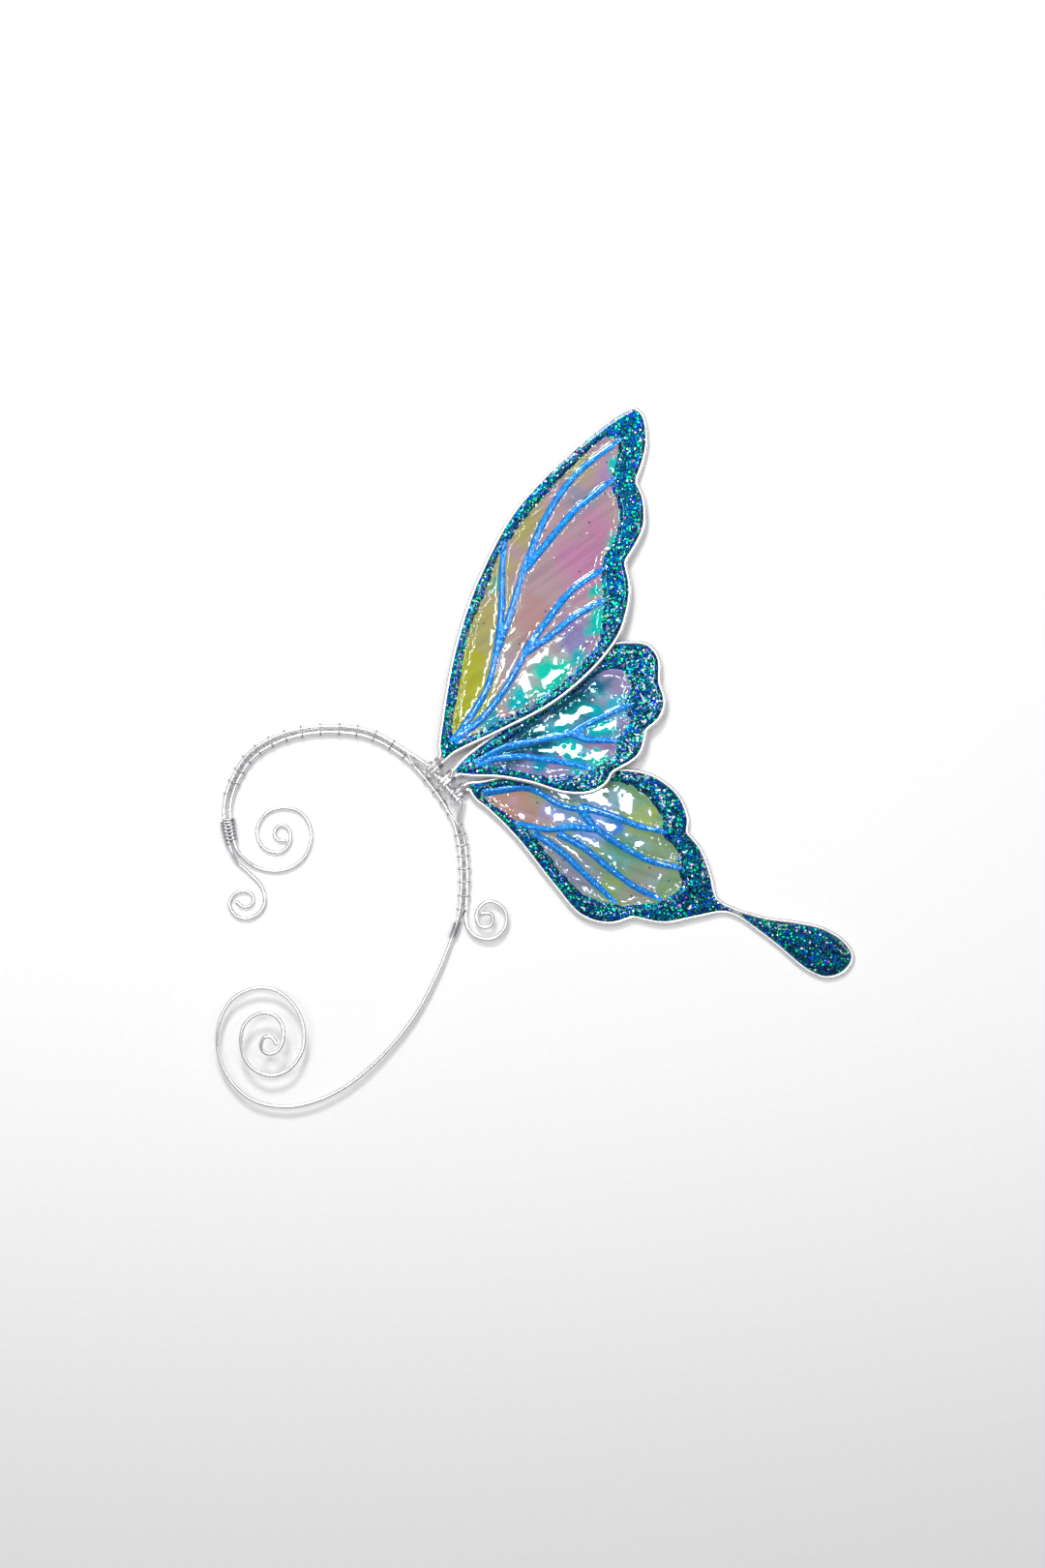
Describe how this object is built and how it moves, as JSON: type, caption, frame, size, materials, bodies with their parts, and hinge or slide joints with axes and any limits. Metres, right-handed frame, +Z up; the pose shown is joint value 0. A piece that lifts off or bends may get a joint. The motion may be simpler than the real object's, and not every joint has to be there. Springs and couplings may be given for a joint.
{
  "type": "fairy wing ear cuff",
  "caption": "Wire-wrapped ear cuff: a hooked silver wire with spiral ends that carries butterfly wings of glitter resin and iridescent film, hinged on the wire.",
  "frame": {"origin": "middle of the cuff's footprint, on the plane that it lies on", "axes": "+Z up out of the front of the cuff, the side seen when it is worn; +Y along the longest extent, towards the tip of the upper wing; +X from the ear opening towards the wings"},
  "size_m": [0.119, 0.1306, 0.006],
  "materials": {
    "silver_wire": "bright polished drawn wire",
    "thin_wire": "bright thin binding wire",
    "glitter_resin": "dark teal resin packed with fine green, blue and white glitter",
    "iridescent_film": "thin iridescent film, mauve, olive and blue",
    "clear_resin": "clear domed resin, very glossy",
    "vein_resin": "raised azure glitter resin"
  },
  "bodies": {
    "cuff": {"ear_wire": "silver_wire", "outer_wire": "silver_wire", "wrap_wire": "thin_wire", "upper_binding": "thin_wire"},
    "lower_wing": {"lower_frame": "silver_wire", "lower_neck_binding": "thin_wire", "lower_film": "iridescent_film", "lower_glitter_border": "glitter_resin", "lower_clear_resin": "clear_resin", "lower_vein_tree": "vein_resin", "lower_vein_inner": "vein_resin", "lower_vein_outer": "vein_resin", "tail_drop": "glitter_resin"},
    "middle_wing": {"middle_frame": "silver_wire", "middle_neck_binding": "thin_wire", "middle_film": "iridescent_film", "middle_glitter_border": "glitter_resin", "middle_clear_resin": "clear_resin", "middle_veins": "vein_resin"},
    "upper_wing": {"upper_frame": "silver_wire", "upper_neck_binding": "thin_wire", "upper_film": "iridescent_film", "upper_glitter_border": "glitter_resin", "upper_clear_resin": "clear_resin", "upper_veins": "vein_resin"}
  },
  "joints": [
    {"name": "lower_wing_hinge", "type": "hinge", "parent": "cuff", "child": "lower_wing", "pos_m": [-0.01497, -0.00719, 0.00203], "axis": [0.676, -0.7369, 0], "range_deg": [-20, 30]},
    {"name": "middle_wing_hinge", "type": "hinge", "parent": "lower_wing", "child": "middle_wing", "pos_m": [-0.01717, -0.0048, 0.00203], "axis": [0.676, -0.7369, 0], "range_deg": [0, 20]},
    {"name": "upper_wing_hinge", "type": "hinge", "parent": "middle_wing", "child": "upper_wing", "pos_m": [-0.01938, -0.00239, 0.00203], "axis": [0.676, -0.7369, 0], "range_deg": [0, 25]}
  ]
}
